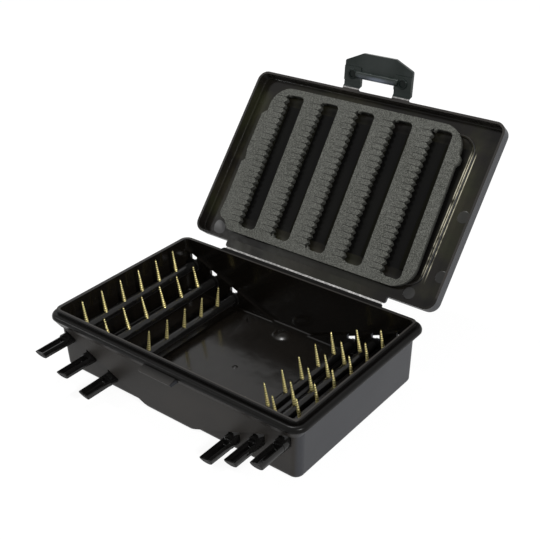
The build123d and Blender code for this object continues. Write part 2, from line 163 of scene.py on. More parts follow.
class Wire:
    """A node's output. Arithmetic on it adds Math nodes."""

    def __init__(self, graph, socket):
        self.graph = graph
        self.socket = socket

    def out(self, name):
        """Another output of the same node."""
        return Wire(self.graph, self.socket.node.outputs[name])

    def math(self, operation, *values, **settings):
        inputs = dict(enumerate(values))
        return self.graph.node("ShaderNodeMath", {"operation": operation, **settings}, inputs)

    def __add__(self, other):
        return self.math("ADD", self, other)

    def __radd__(self, other):
        return self.math("ADD", other, self)

    def __sub__(self, other):
        return self.math("SUBTRACT", self, other)

    def __rsub__(self, other):
        return self.math("SUBTRACT", other, self)

    def __mul__(self, other):
        return self.math("MULTIPLY", self, other)

    def __rmul__(self, other):
        return self.math("MULTIPLY", other, self)

    def __truediv__(self, other):
        return self.math("DIVIDE", self, other)

    def __pow__(self, other):
        return self.math("POWER", self, other)

    def __neg__(self):
        return 0.0 - self

    def fract(self):
        return self.math("FRACT", self)

    def size(self):
        """The value without its sign."""
        return self.math("ABSOLUTE", self)

    def most(self, other):
        """The larger of two values."""
        return self.math("MAXIMUM", self, other)

    def clamped(self):
        """The value, kept from 0 to 1."""
        return self.math("ADD", self, 0.0, use_clamp=True)

    def step(self, start, end):
        """Rises from 0 at start to 1 at end, smoothly."""
        inputs = {"Value": self, "From Min": start, "From Max": end}
        return self.graph.node("ShaderNodeMapRange", {"interpolation_type": "SMOOTHSTEP"}, inputs)

    def band(self, rise, fall):
        """1 between a rise and a fall, each given by its start and end."""
        return self.step(*rise) * (1 - self.step(*fall))


class Graph:
    """A node tree, with one method that adds a node."""

    def __init__(self, tree):
        self.tree = tree

    def node(self, kind, settings=None, inputs=None, output=0):
        """Adds a node: its settings first, then a value or a wire for each input."""
        made = self.tree.nodes.new(kind)
        for name, value in (settings or {}).items():
            setattr(made, name, value)
        for name, value in (inputs or {}).items():
            if isinstance(value, Wire):
                self.tree.links.new(value.socket, made.inputs[name])
            else:
                made.inputs[name].default_value = value
        return Wire(self, made.outputs[output]) if made.outputs else made

    def vector(self, **parts):
        """A vector from values for its X, Y and Z."""
        return self.node("ShaderNodeCombineXYZ", {}, parts)


class Finish(Graph):
    """A material, with the patterns that the finishes share."""

    def __init__(self, name):
        self.material = bpy.data.materials.new(name)
        self.material.use_nodes = True
        super().__init__(self.material.node_tree)
        self.tree.nodes.clear()
        coordinates = self.node("ShaderNodeTexCoord")
        self.place = coordinates.out("Object")
        self.facing = coordinates.out("Normal")

    def parts(self, vector):
        """The X, Y and Z of a vector."""
        split = self.node("ShaderNodeSeparateXYZ", {}, {0: vector})
        return split, split.out("Y"), split.out("Z")

    def noise(self, scale, detail, roughness):
        """Soft noise from 0 to 1, fixed to the piece; scale is in waves to the metre."""
        inputs = {"Vector": self.place, "Scale": scale, "Detail": detail, "Roughness": roughness}
        return self.node("ShaderNodeTexNoise", {}, inputs)

    def along(self, direction, vector, origin=(0, 0, 0)):
        """Length of a vector along a direction, from origin."""
        from_origin = self.node("ShaderNodeVectorMath", {"operation": "SUBTRACT"}, {0: vector, 1: origin})
        inputs = {0: from_origin, 1: direction}
        return self.node("ShaderNodeVectorMath", {"operation": "DOT_PRODUCT"}, inputs).out("Value")

    def distance(self, point):
        """Distance of the surface from a point."""
        inputs = {0: self.place, 1: point}
        return self.node("ShaderNodeVectorMath", {"operation": "DISTANCE"}, inputs).out("Value")

    def mix(self, factor, first, second):
        """Colour between two colours."""
        inputs = {"Factor": factor, 6: first, 7: second}
        return self.node("ShaderNodeMix", {"data_type": "RGBA"}, inputs, output=2)

    def bump(self, height, depth, over=None):
        """Surface relief: height from 0 to 1 is depth, in metres."""
        inputs = {"Height": height, "Strength": 1.0, "Distance": depth}
        if over:
            inputs["Normal"] = over
        return self.node("ShaderNodeBump", {}, inputs)

    def shader(self, **inputs):
        """A gloss-over-matte shader; an underscore in a name stands for a space."""
        named = {name.replace("_", " "): value for name, value in inputs.items()}
        return self.node("ShaderNodeBsdfPrincipled", {}, named)

    def either(self, factor, first, second):
        """The first shader where factor is 0, the second where it is 1."""
        return self.node("ShaderNodeMixShader", {}, {"Fac": factor, 1: first, 2: second})

    def done(self, surface):
        """Adds the output, and gives the material."""
        self.node("ShaderNodeOutputMaterial", {}, {"Surface": surface})
        return self.material


def grey(level, warmth=0.0):
    """A near-neutral colour; warmth moves it from blue to yellow."""
    return (level * (1 + warmth), level, level * (1 - warmth), 1.0)


def slant(a, b):
    """Length of the slant over two lengths at right angles."""
    return (a * a + b * b) ** 0.5


# ---------------------------------------------------------------------------------------------
# World and floor
# ---------------------------------------------------------------------------------------------

WHITE = grey(1.0)
PAPER = grey(0.85)
FLOOR_SIZE = 12.0       # metres
AMBIENT = 0.38          # light that the surroundings give, where 1 is the white that shows
FLOOR_SHADE = 0.14      # how much of the floor's own shading shows
FLOOR_GLOW = 1.07       # makes up for that share


def seen_directly(graph):
    """1 for what the camera sees, also in a mirror or through glass, and 0 for light."""
    path = graph.node("ShaderNodeLightPath")
    seen = path.out("Is Camera Ray") + path.out("Is Glossy Ray") + path.out("Is Transmission Ray")
    return seen.clamped()


def set_world():
    world = bpy.data.worlds.new("white_studio")
    world.use_nodes = True
    bpy.context.scene.world = world
    graph = Graph(world.node_tree)
    graph.tree.nodes.clear()
    glow = seen_directly(graph) * (1 - AMBIENT) + AMBIENT
    sky = graph.node("ShaderNodeBackground", {}, {"Color": WHITE, "Strength": glow})
    graph.node("ShaderNodeOutputWorld", {}, {"Surface": sky})


def add_floor():
    mesh = bpy.data.meshes.new("floor")
    half = FLOOR_SIZE / 2
    corners = [(-half, -half, 0), (half, -half, 0), (half, half, 0), (-half, half, 0)]
    mesh.from_pydata(corners, [], [(0, 1, 2, 3)])
    floor = add_object("floor", mesh)
    material = bpy.data.materials.new("pale_floor")
    material.use_nodes = True
    graph = Graph(material.node_tree)
    graph.tree.nodes.clear()
    paper = graph.node("ShaderNodeBsdfDiffuse", {}, {"Color": PAPER})
    white = graph.node("ShaderNodeEmission", {}, {"Color": WHITE, "Strength": FLOOR_GLOW})
    share = seen_directly(graph) * (1 - FLOOR_SHADE)
    both = graph.node("ShaderNodeMixShader", {}, {"Fac": share, 1: paper, 2: white})
    graph.node("ShaderNodeOutputMaterial", {}, {"Surface": both})
    mesh.materials.append(material)


# ---------------------------------------------------------------------------------------------
# Finishes
# ---------------------------------------------------------------------------------------------

# How softly one look passes into the next

FACES = (0.3, 0.7)              # between faces that look away from a direction and along it
PATCHES = (0.35, 0.65)          # between the two tones of a noise


# Satin outside of the mouldings

SATIN = (grey(0.0145, 0.11), grey(0.019, 0.13))
# painted light: the ends, the faces that look along X, are paler and bluer, as if lit from the side
SATIN_SIDE_LIT = (0.029, 0.03, 0.034, 1.0)
SATIN_SIDE_LIT_FACES = (0.3, 0.8)    # faces that look along X, painted paler as if lit from the side


def satin(f):
    """Spark-eroded outside of a moulding, a little paler and bluer on its ends, which face along X:
    painted light from the side.
    """
    grain = f.noise(2600, detail=3.0, roughness=0.6)
    flow = f.noise(30, detail=3.0, roughness=0.55)
    across = f.parts(f.facing)[0]
    colour = f.mix(flow.step(*PATCHES), *SATIN)
    colour = f.mix(across.size().step(*SATIN_SIDE_LIT_FACES), colour, SATIN_SIDE_LIT)
    return f.shader(Base_Color=colour, Roughness=0.4 + flow * 0.1, Specular_IOR_Level=0.2,
                    Normal=f.bump(grain, 0.03 * MM))


# Tray

TRAY_INSIDE = (grey(0.002, 0.2), grey(0.005, 0.25))
TRAY_SEAT_DARK = grey(0.0025, 0.1)
TRAY_HOLLOW = Vector((156.4, 98.0)) * MM    # length and depth of its mouth
TRAY_SEAT = mm(6.4, 4.2)        # below its top: the seat of the lid, from none to full
TRAY_RIM = mm(0.5, 0.15)        # below its top: the pale edge of the mouth, a painted highlight line along the rim
TRAY_RIM_WIDTH = mm(0.7, 1.0)   # of that edge, out from the mouth
TRAY_WALL_END = mm(51.0, 51.4)  # where the walls end in Y, and the catch lip and the hinge flange start
TRAY_FLOOR = mm(2.0, 2.4)       # height over which the marks on the floor end
EJECTOR_PITCH = 48.0 * MM       # rings in the floor, along X
EJECTOR_Y = 41.4 * MM
EJECTOR_RADIUS = 2.2 * MM
EJECTOR_INNER = (0.8, 1.0)      # sides of the ring, as shares of its radius
EJECTOR_OUTER = (1.0, 1.2)
DOME_PLACE = Vector((0.5, 39.9, 1.8)) * MM
DOME_RADIUS = 6.5 * MM
DOME_EDGE = (0.2, 1.0)          # from its top to its foot, as shares of its radius
GATE_PLACE = Vector((-1.1, 0.7, 1.8)) * MM
GATE_RADIUS = 1.6 * MM
GATE_EDGE = (0.5, 1.0)
RING_HEIGHT = 1.4               # in mark depths
DOME_HEIGHT = 1.3
GATE_HEIGHT = 0.5
MARK_DEPTH = 0.9 * MM


def tray_plastic():
    """Black moulding: satin outside, glossy inside, duller and darker on the seat of the lid."""
    f = Finish("tray_plastic")
    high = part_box("base_tray")[1]
    x, y, z = f.parts(f.place)
    across, ahead, up = f.parts(f.facing)
    outward = (across * x / high.x + ahead * y / high.y).step(0.0, 0.2)
    seat = z.step(*below(high.z, TRAY_SEAT))
    from_hollow = (x.size() - TRAY_HOLLOW.x / 2).most(y.size() - TRAY_HOLLOW.y / 2)
    # painted highlight: the edge of the mouth gets the paler satin, a light line along the rim
    rim = z.step(*below(high.z, TRAY_RIM)) * (1 - from_hollow.step(*TRAY_RIM_WIDTH))
    underside = (-up).step(*FACES)
    past_walls = y.size().step(*TRAY_WALL_END)
    outside = (outward * (1 - up.step(*FACES))).most(underside).most(past_walls) * (1 - seat)
    sideways = ((x / EJECTOR_PITCH).fract() - 0.5) * EJECTOR_PITCH
    lengthways = y.size() - EJECTOR_Y
    from_ejector = slant(sideways, lengthways)
    ring = from_ejector.band(scaled(EJECTOR_INNER, EJECTOR_RADIUS), scaled(EJECTOR_OUTER, EJECTOR_RADIUS))
    dome = 1 - f.distance(DOME_PLACE).step(*scaled(DOME_EDGE, DOME_RADIUS))
    gate = 1 - f.distance(GATE_PLACE).step(*scaled(GATE_EDGE, GATE_RADIUS))
    on_floor = 1 - z.step(*TRAY_FLOOR)
    marks = (ring * RING_HEIGHT + dome * DOME_HEIGHT + gate * GATE_HEIGHT) * on_floor
    flow = f.noise(34, detail=3.0, roughness=0.5)
    glossy = f.shader(Base_Color=f.mix(flow, *TRAY_INSIDE),
                      Roughness=0.13 + flow * 0.08 + dome * on_floor * 0.2, Specular_IOR_Level=0.3,
                      Normal=f.bump(marks, MARK_DEPTH, f.bump(flow, 0.5 * MM)))
    dark = f.shader(Base_Color=TRAY_SEAT_DARK, Roughness=0.3, Specular_IOR_Level=0.1)
    inside = f.either(seat * (outward + up).clamped(), glossy, dark)
    return f.done(f.either(outside.most(rim), inside, satin(f)))


# Lid: its heights run from its middle to its free edge, its X as in the shut lid

LID_PANEL = 1.5 * MM            # thickness
LID_FREE_WALL = mm(40, 45)      # height at which the free edge's wall starts
LID_SMEARS = ((0.018, 0.0185, 0.0095, 1.0), (0.021, 0.0185, 0.0115, 1.0))
LID_CLEAN = grey(0.008, 0.15)
# painted shade: the panel under the foam, seen in the slots, is painted near-black
LID_UNDER_FOAM_SHADE = grey(0.002)
LID_FOAM_SHADE_SHARE = 0.95           # of that painted shade under the foam
LID_TAPE_END_SHARE = 0.4        # less of it beyond the tape
LID_FOAM_DULL = 0.75            # share of the dull shader there
LID_FOAM_X = mm(62, 68)         # half of the part under the foam that is painted darker, as shade
LID_FOAM_HEIGHT = mm(38, 43)
LID_TAPE_END = mm(35.8, 36.3)
LID_HINGE_SIDE = mm(44, 49)     # below the middle
# painted shade: the panel by the hinge, next to the near wall, is painted darker
LID_HINGE_SHADE = grey(0.003, 0.2)
LID_HINGE_SHARE = 0.6
LID_EJECTORS = (mm(75.2, -0.4), mm(76.4, 33.0), mm(62.7, 46.2))
LID_EJECTOR_RADIUS = 3.6 * MM
LID_EJECTOR_EDGE = (0.85, 1.0)
LID_EJECTOR_GREY = grey(0.04)
LID_EJECTOR_SHARE = 0.6
LID_RIM = mm(5.8, 6.1)          # over the panel: the edge of the hollow, satin there as a painted highlight line along the rim
LID_RIM_START = mm(-46, -44)
RIDGE_FOOT = mm(0.02, 0.1)      # over the panel: the raised frame round the foam
RIDGE_TOP = mm(1.5, 2)
RIDGE_DULL_X = mm(50, 56)       # where the frame is dull: left of this, or higher than the next
RIDGE_DULL_HEIGHT = mm(30, 34)
RIDGE_DULL = 0.9                # share of the dull shader there
HIGHLIGHT_LINES = 3                       # painted highlight lines on the frame's right side
LINE_PITCH = 1.45 * MM
LINES_START = 64.9 * MM
LINE_EDGE = 0.01                # of the group of lines, as a share of the pitch
LINE_HALF = (0.1, 0.3)          # half of a line, as a share of the pitch
LINE_GAPS = (0.3, 0.6)          # noise that breaks the lines
LINES_END = mm(26, 40)          # from the middle, up and down
LINES_FOOT = mm(-0.6, -0.4)     # over the panel
HIGHLIGHT_GOLD = (0.42, 0.39, 0.28, 1.0)
# painted reflection: a pale grey patch in one corner of the panel
REFLECTION_PATCH_PLACE = mm(-69.0, 45.4)
REFLECTION_PATCH_EDGE = mm(3.6, 4.2)
REFLECTION_PATCH_WANDER = 6 * MM
REFLECTION_PATCH_GREY = grey(0.13)
REFLECTION_PATCH_SHARE = 0.8


def lid_ejector_marks(f, panel_z):
    """1 on the round marks that ejector pins left in the panel."""
    marks = None
    for place in LID_EJECTORS:
        middle = SHUT_TO_OPEN @ Vector((*place, panel_z))
        mark = 1 - f.distance(middle).step(*scaled(LID_EJECTOR_EDGE, LID_EJECTOR_RADIUS))
        marks = mark if marks is None else marks + mark
    return marks


def panel_colour(f, height, panel_z, smear, marks, under_foam):
    """Smeared black, painted darker under the foam and by the hinge as shade, with a pale patch of
    painted reflection in one corner.
    """
    tint = f.noise(42, detail=3.0, roughness=0.6)
    colour = f.mix(smear.step(0.38, 0.62), LID_CLEAN, f.mix(tint.step(0.4, 0.65), *LID_SMEARS))
    beyond_tape = height.size().step(*LID_TAPE_END)
    black = under_foam * (LID_FOAM_SHADE_SHARE - beyond_tape * LID_TAPE_END_SHARE)
    # painted shade under the foam, less of it beyond the tape
    colour = f.mix(black, colour, LID_UNDER_FOAM_SHADE)
    # painted reflection: a pale patch with a wandering edge
    from_reflection_patch = f.distance(SHUT_TO_OPEN @ Vector((*REFLECTION_PATCH_PLACE, panel_z)))
    from_reflection_patch = from_reflection_patch + (f.noise(130, detail=1.0, roughness=0.4) - 0.5) * REFLECTION_PATCH_WANDER
    reflection_patch = 1 - from_reflection_patch.step(*REFLECTION_PATCH_EDGE)
    colour = f.mix(reflection_patch * REFLECTION_PATCH_SHARE, colour, REFLECTION_PATCH_GREY)
    # painted shade by the hinge
    hinge_side = (-height).step(*LID_HINGE_SIDE)
    colour = f.mix(hinge_side * LID_HINGE_SHARE, colour, LID_HINGE_SHADE)
    return f.mix(marks * LID_EJECTOR_SHARE, colour, LID_EJECTOR_GREY)


def frame_highlight_lines(f, x, height, over_panel, back):
    """1 on the thin, broken lines of painted highlight along the right side of the raised frame."""
    across_line = (x - LINES_START) / LINE_PITCH
    in_lines = across_line.band((-LINE_EDGE, LINE_EDGE), (HIGHLIGHT_LINES - LINE_EDGE, HIGHLIGHT_LINES + LINE_EDGE))
    from_line = (across_line.fract() - 0.5).size()
    lines = (1 - from_line.step(*LINE_HALF)) * in_lines * (1 - height.size().step(*LINES_END))
    lines = lines * f.noise(120, detail=2.0, roughness=0.7).step(*LINE_GAPS)
    lines = lines * (1 - over_panel.step(*RIDGE_TOP))
    return lines * (1 - back.step(-0.2, 0.0)) * over_panel.step(*LINES_FOOT)


def lid_plastic():
    """Black moulding: a glossy, smeared panel inside, and satin walls and outside."""
    f = Finish("lid_plastic")
    high = shut_box("lid_shell")[1]
    panel_z = high.z - LID_PANEL
    x = f.parts(f.place)[0]
    across = f.parts(f.facing)[0]
    height = f.along(LID_UP, f.place, LID_HINGE) - LID_HINGE.y
    over_panel = f.along(LID_OUT, f.place, SHUT_TO_OPEN @ Vector((0, 0, panel_z)))
    outward = across * x / high.x + f.along(LID_UP, f.facing) * height / high.y
    back = -f.along(LID_OUT, f.facing)
    free_wall = (-f.along(LID_UP, f.facing)).step(0.5, 0.8) * height.step(*LID_FREE_WALL)
    outside = outward.step(0.1, 0.4).most(back.step(0.4, 0.7)).most(free_wall * 0.6)
    # painted highlight: the rim gets the paler satin, a light line along it
    rim = over_panel.step(*LID_RIM) * height.step(*LID_RIM_START)
    smear = f.noise(24, detail=4.0, roughness=0.62)
    marks = lid_ejector_marks(f, panel_z)
    under_foam = (1 - x.size().step(*LID_FOAM_X)) * (1 - height.size().step(*LID_FOAM_HEIGHT))
    colour = panel_colour(f, height, panel_z, smear, marks, under_foam)
    roughness = 0.15 + smear.step(0.4, 0.7) * 0.14 + marks * 0.2
    glossy = f.shader(Base_Color=colour, Roughness=roughness, Specular_IOR_Level=0.16,
                      Normal=f.bump(marks, 0.15 * MM, f.bump(smear, 0.3 * MM)))
    quiet = f.shader(Base_Color=colour, Roughness=0.6, Specular_IOR_Level=0.03)
    # painted highlight: pale gold lines along the right side of the frame
    painted_highlight = f.shader(Base_Color=HIGHLIGHT_GOLD, Roughness=0.25, Specular_IOR_Level=1.0)
    ridge = over_panel.band(RIDGE_FOOT, RIDGE_TOP)
    dulled = (-x).step(*RIDGE_DULL_X).most(height.step(*RIDGE_DULL_HEIGHT))
    panel = f.either((ridge * dulled * RIDGE_DULL).most(under_foam * LID_FOAM_DULL), glossy, quiet)
    walls = f.either(outside.most(rim), panel, satin(f))
    return f.done(f.either(frame_highlight_lines(f, x, height, over_panel, back), walls, painted_highlight))


# Latch: its lengths run from its hinge to its end

LATCH_DARK = ((0.007, 0.0115, 0.0095, 1.0), (0.014, 0.019, 0.0175, 1.0))
# paler in the middle of the plate, towards its end
LATCH_PALER = (0.026, 0.031, 0.029, 1.0)
LATCH_PALER_X = mm(3, 17)        # from the middle, to both sides
LATCH_PALER_REACH = mm(9, 14)
LATCH_PALER_SHARE = 0.6
LATCH_BAR_NEAR = mm(5.0, 6.8)   # the bar's side by the hinge
LATCH_BAR_FAR = mm(7.2, 9.2)
LATCH_BAR_X = mm(10.5, 13.5)    # its ends
# painted highlight on the bar: a pale blue streak on a grey sheen
LATCH_BAR_HIGHLIGHT = ((0.045, 0.053, 0.062, 1.0), (0.15, 0.17, 0.215, 1.0))
HIGHLIGHT_STREAK_X = 1 * MM               # middle of the bar's painted highlight, a pale streak
HIGHLIGHT_STREAK_HALF = mm(1, 9)
LATCH_BOSS_X = 16.5 * MM
LATCH_BOSS_REACH = 7.7 * MM
LATCH_BOSS_RADIUS = 3.0 * MM
LATCH_BOSS_EDGE = (0.8, 1.1)    # as shares of its radius
# painted shade in the dish of each boss
LATCH_DISH_SHADE = (0.004, 0.007, 0.006, 1.0)
LATCH_DISH_SHADE_SHARE = 0.85


def latch_plastic():
    """Dark green-grey moulding, paler in the middle towards its end, with a painted highlight on its bar
    and painted shade in the dish of each boss.
    """
    f = Finish("latch_plastic")
    flow = f.noise(90, detail=3.0, roughness=0.5)
    x = f.parts(f.place)[0]
    reach = f.along(LATCH_UP, f.place, LATCH_HINGE)
    paler_middle = (1 - x.size().step(*LATCH_PALER_X)) * reach.step(*LATCH_PALER_REACH)
    colour = f.mix(paler_middle * LATCH_PALER_SHARE, f.mix(flow.step(*PATCHES), *LATCH_DARK), LATCH_PALER)
    plate = f.shader(Base_Color=colour, Roughness=0.26 + flow * 0.1, Specular_IOR_Level=0.2,
                     Normal=f.bump(flow, 0.3 * MM))
    bar = reach.band(LATCH_BAR_NEAR, LATCH_BAR_FAR) * (1 - x.size().step(*LATCH_BAR_X))
    # painted highlight: a pale streak across the bar
    streak = 1 - (x - HIGHLIGHT_STREAK_X).size().step(*HIGHLIGHT_STREAK_HALF)
    painted_highlight = f.shader(Base_Color=f.mix(streak, *LATCH_BAR_HIGHLIGHT), Roughness=0.3, Specular_IOR_Level=0.4)
    from_boss = slant(x.size() - LATCH_BOSS_X, reach - LATCH_BOSS_REACH)
    dish = 1 - from_boss.step(*scaled(LATCH_BOSS_EDGE, LATCH_BOSS_RADIUS))
    # painted shade in the dishes
    dish_shade = f.shader(Base_Color=LATCH_DISH_SHADE, Roughness=0.2, Specular_IOR_Level=0.1)
    return f.done(f.either(dish * LATCH_DISH_SHADE_SHARE, f.either(bar, plate, painted_highlight), dish_shade))


# Films, spindles, pins, foam and tape

# pale grey of the films: stress whitening, and painted light for their bright line
FILM_STRESS_AND_LIGHT_GREY = (grey(0.12, 0.03), grey(0.34, 0.03))
SPINDLE_BLACK = (grey(0.002), grey(0.008, 0.05))
SPINDLE_UNDER = grey(0.012, 0.05)
BRASS = ((1.0, 0.89, 0.42, 1.0), (0.92, 0.74, 0.25, 1.0))
# painted shade in the grooves of the pins
BRASS_GROOVE_SHADE = (0.16, 0.11, 0.015, 1.0)
FOAM_DARK = ((0.033, 0.034, 0.029, 1.0), (0.044, 0.045, 0.04, 1.0))
FOAM_FLECK = (0.13, 0.132, 0.118, 1.0)
FOAM_SIDE_SHADE = (0.018, 0.018, 0.015, 1.0)       # painted shade on the walls of slots and slits
FOAM_SIDE_SHADE_SHARE = 0.6
TAPE_BLACK = ((0.004, 0.004, 0.0026, 1.0), (0.009, 0.009, 0.006, 1.0))


def film_plastic():
    """Thin bent plastic, pale grey in streaks: stress whitening, and painted light for the bright line
    along the bend.
    """
    f = Finish("film_plastic")
    streak = f.noise(700, detail=2.0, roughness=0.6)
    return f.done(f.shader(Base_Color=f.mix(streak.step(0.35, 0.7), *FILM_STRESS_AND_LIGHT_GREY),
                           Roughness=0.25 + streak * 0.15, Normal=f.bump(streak, 0.03 * MM)))


def spindle_plastic():
    """Glossy black moulding of the rods and levers, dull on faces that look down."""
    f = Finish("spindle_plastic")
    flow = f.noise(160, detail=3.0, roughness=0.55)
    up = f.parts(f.facing)[2]
    glossy = f.shader(Base_Color=f.mix(flow, *SPINDLE_BLACK), Roughness=0.07 + flow * 0.06,
                      Specular_IOR_Level=0.26, Normal=f.bump(flow, 0.2 * MM))
    dull = f.shader(Base_Color=SPINDLE_UNDER, Roughness=0.5, Specular_IOR_Level=0.05)
    return f.done(f.either((-up).step(0.1, 0.3), glossy, dull))


def pin_brass():
    """Bright brass, a little dull in patches, with painted shade in its grooves."""
    f = Finish("pin_brass")
    dull = f.noise(1800, detail=2.0, roughness=0.6)
    groove = f.node("ShaderNodeAttribute", {"attribute_name": "groove"}).out("Fac")
    # painted shade in the grooves
    colour = f.mix(groove, f.mix(dull.step(0.5, 0.75), *BRASS), BRASS_GROOVE_SHADE)
    return f.done(f.shader(Base_Color=colour, Metallic=0.7, Roughness=0.22 + dull * 0.15))


def foam_finish():
    """Charcoal foam with a crumbly, flecked surface, and painted shade on the walls of its cuts."""
    f = Finish("charcoal_foam")
    crumb = f.noise(1500, detail=2.0, roughness=0.6)
    fleck = f.noise(3100, detail=2.0, roughness=0.6)
    patch = f.noise(45, detail=3.0, roughness=0.5)
    grain = crumb * 0.5 + fleck * 0.5
    colour = f.mix(grain.step(0.42, 0.62), f.mix(patch.step(*PATCHES), *FOAM_DARK), FOAM_FLECK)
    # painted shade on the side walls of the foam
    cut = 1 - f.along(LID_OUT, f.facing).step(0.4, 0.85)
    colour = f.mix(cut * FOAM_SIDE_SHADE_SHARE, colour, FOAM_SIDE_SHADE)
    return f.done(f.shader(Base_Color=colour, Roughness=0.9, Specular_IOR_Level=0.2,
                           Normal=f.bump(grain, 0.25 * MM)))


def tape_backing():
    """Black fibre tape that the foam sticks to."""
    f = Finish("tape_backing")
    fibre = f.noise(1400, detail=3.0, roughness=0.7)
    return f.done(f.shader(Base_Color=f.mix(fibre, *TAPE_BLACK), Roughness=0.85, Specular_IOR_Level=0.03,
                           Normal=f.bump(fibre, 0.05 * MM)))


# ---------------------------------------------------------------------------------------------
# Pieces
# ---------------------------------------------------------------------------------------------

def facing_out(mesh, merge=0.0):
    """Turns a closed mesh's faces outwards, once points closer than merge are one."""
    shape = bmesh.new()
    shape.from_mesh(mesh)
    if merge:
        bmesh.ops.remove_doubles(shape, verts=shape.verts, dist=merge)
    bmesh.ops.recalc_face_normals(shape, faces=shape.faces)
    shape.to_mesh(mesh)
    shape.free()
    return mesh


def finished(name, source, tree, values):
    """A plain mesh object from an object with a Geometry Nodes modifier, whose inputs get values."""
    modifier = source.modifiers.new(tree.name, "NODES")
    modifier.node_group = tree
    for item in tree.interface.items_tree:
        if item.item_type == "SOCKET" and item.in_out == "INPUT" and item.name in values:
            modifier[item.identifier] = values[item.name]
    evaluated = source.evaluated_get(bpy.context.evaluated_depsgraph_get())
    mesh = bpy.data.meshes.new_from_object(evaluated)
    mesh.name = name
    source.modifiers.remove(modifier)
    bpy.data.objects.remove(source)
    return add_object(name, mesh)


def geometry_tree(name, sockets):
    """A Geometry Nodes tree with a geometry input and output and the named inputs."""
    tree = bpy.data.node_groups.new(name, "GeometryNodeTree")
    tree.interface.new_socket("Geometry", in_out="OUTPUT", socket_type="NodeSocketGeometry")
    tree.interface.new_socket("Geometry", in_out="INPUT", socket_type="NodeSocketGeometry")
    for label, kind in sockets.items():
        tree.interface.new_socket(label, in_out="INPUT", socket_type="NodeSocket" + kind)
    graph = Graph(tree)
    return graph, graph.node("NodeGroupInput")


# Pins: a row of ringed, tapered brass pins on each spindle

PINS = 6
PIN_RINGS = 11
PIN_START = 2.0 * MM            # from the spindle's axis, inside the rod
PIN_SEAT = 1.0 * MM             # from the end pin's axis to the end of the row in the frame
PIN_BASE = 1.12 * MM            # radius
PIN_TIP = 0.38 * MM             # radius
PIN_POINT = (0.9, 1.03)         # where it is rounded off, as a share of its length
PIN_GROOVE = 0.2 * MM           # depth
GROOVE_RISE = (0.45, 0.7)       # sides of a groove, as a share of a ring's length
GROOVE_FALL = (0.9, 1.0)
RING_STEPS = 6
PIN_SIDES = 14


def pin_row_tree():
    """A row of pins along Y: each a tapered stem with grooves, leaning from the spindle's axis."""
    sockets = {"Count": "Int", "Pitch": "Float", "First": "Float", "Reach": "Float", "Rings": "Int",
               "Axis": "Vector", "Lean": "Float", "Material": "Material"}
    g, given = geometry_tree("pin_row", sockets)
    end = g.vector(Z=given.out("Reach"))
    line = g.node("GeometryNodeCurvePrimitiveLine", {"mode": "POINTS"}, {
        "Start": (0, 0, PIN_START), "End": end})
    points = given.out("Rings") * RING_STEPS + 1
    stem = g.node("GeometryNodeResampleCurve", {}, {"Curve": line, "Count": points})
    along = g.node("GeometryNodeSplineParameter").out("Factor")
    taper = PIN_BASE + along * (PIN_TIP - PIN_BASE)
    wave = (along * given.out("Rings")).fract()
    groove = wave.band(GROOVE_RISE, GROOVE_FALL) * PIN_GROOVE
    point = 1 - along.step(*PIN_POINT) ** 2.0
    radius = (taper - groove) * point
    stem = g.node("GeometryNodeStoreNamedAttribute", {"data_type": "FLOAT", "domain": "POINT"}, {
        "Geometry": stem, "Name": "groove", "Value": groove / PIN_GROOVE})
    section = g.node("GeometryNodeCurvePrimitiveCircle", {}, {"Resolution": PIN_SIDES, "Radius": 1.0})
    pin = g.node("GeometryNodeCurveToMesh", {}, {
        "Curve": stem, "Profile Curve": section, "Scale": radius, "Fill Caps": True})
    first = g.vector(Y=given.out("First"))
    pitch = g.vector(Y=given.out("Pitch"))
    row = g.node("GeometryNodeMeshLine", {}, {
        "Count": given.out("Count"), "Start Location": first, "Offset": pitch})
    pins = g.node("GeometryNodeInstanceOnPoints", {}, {"Points": row, "Instance": pin})
    pins = g.node("GeometryNodeRealizeInstances", {}, {"Geometry": pins})
    lean = g.vector(Y=given.out("Lean"))
    pins = g.node("GeometryNodeTransform", {}, {
        "Geometry": pins, "Rotation": lean, "Translation": given.out("Axis")})
    pins = g.node("GeometryNodeSetShadeSmooth", {}, {"Geometry": pins})
    pins = g.node("GeometryNodeSetMaterial", {}, {"Geometry": pins, "Material": given.out("Material")})
    g.node("NodeGroupOutput", {}, {"Geometry": pins})
    return g.tree


def add_pins(tree, brass):
    """Takes each row's pitch, lean and reach from its pins in the frame."""
    for side in SIDES:
        for rank in RANKS:
            node = frame["nodes"][f"pins_{side}_{rank}"]
            axis = Vector(JOINTS[f"{side}_{rank}_turn"]["pos_m"])
            away = [v.co - axis for v in node.data.vertices]
            middle = sum(away, Vector()) / len(away)
            first = min(p.y for p in away) + PIN_SEAT
            last = max(p.y for p in away) - PIN_SEAT
            lean = atan2(middle.x, middle.z)
            reach = max(p.x * sin(lean) + p.z * cos(lean) for p in away)
            values = {"Count": PINS, "Pitch": (last - first) / (PINS - 1), "First": first, "Reach": reach,
                      "Rings": PIN_RINGS, "Axis": axis, "Lean": lean, "Material": brass}
            name = f"brass_pins_{side}_{rank}"
            seed = add_object(name + "_seed", bpy.data.meshes.new(name))
            pins = finished(name, seed, tree, values)
            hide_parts(node.name)
            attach(pins, f"{side}_{rank}_spindle")


# Foam: a slab with five slots, and a slit into the rib at each tooth

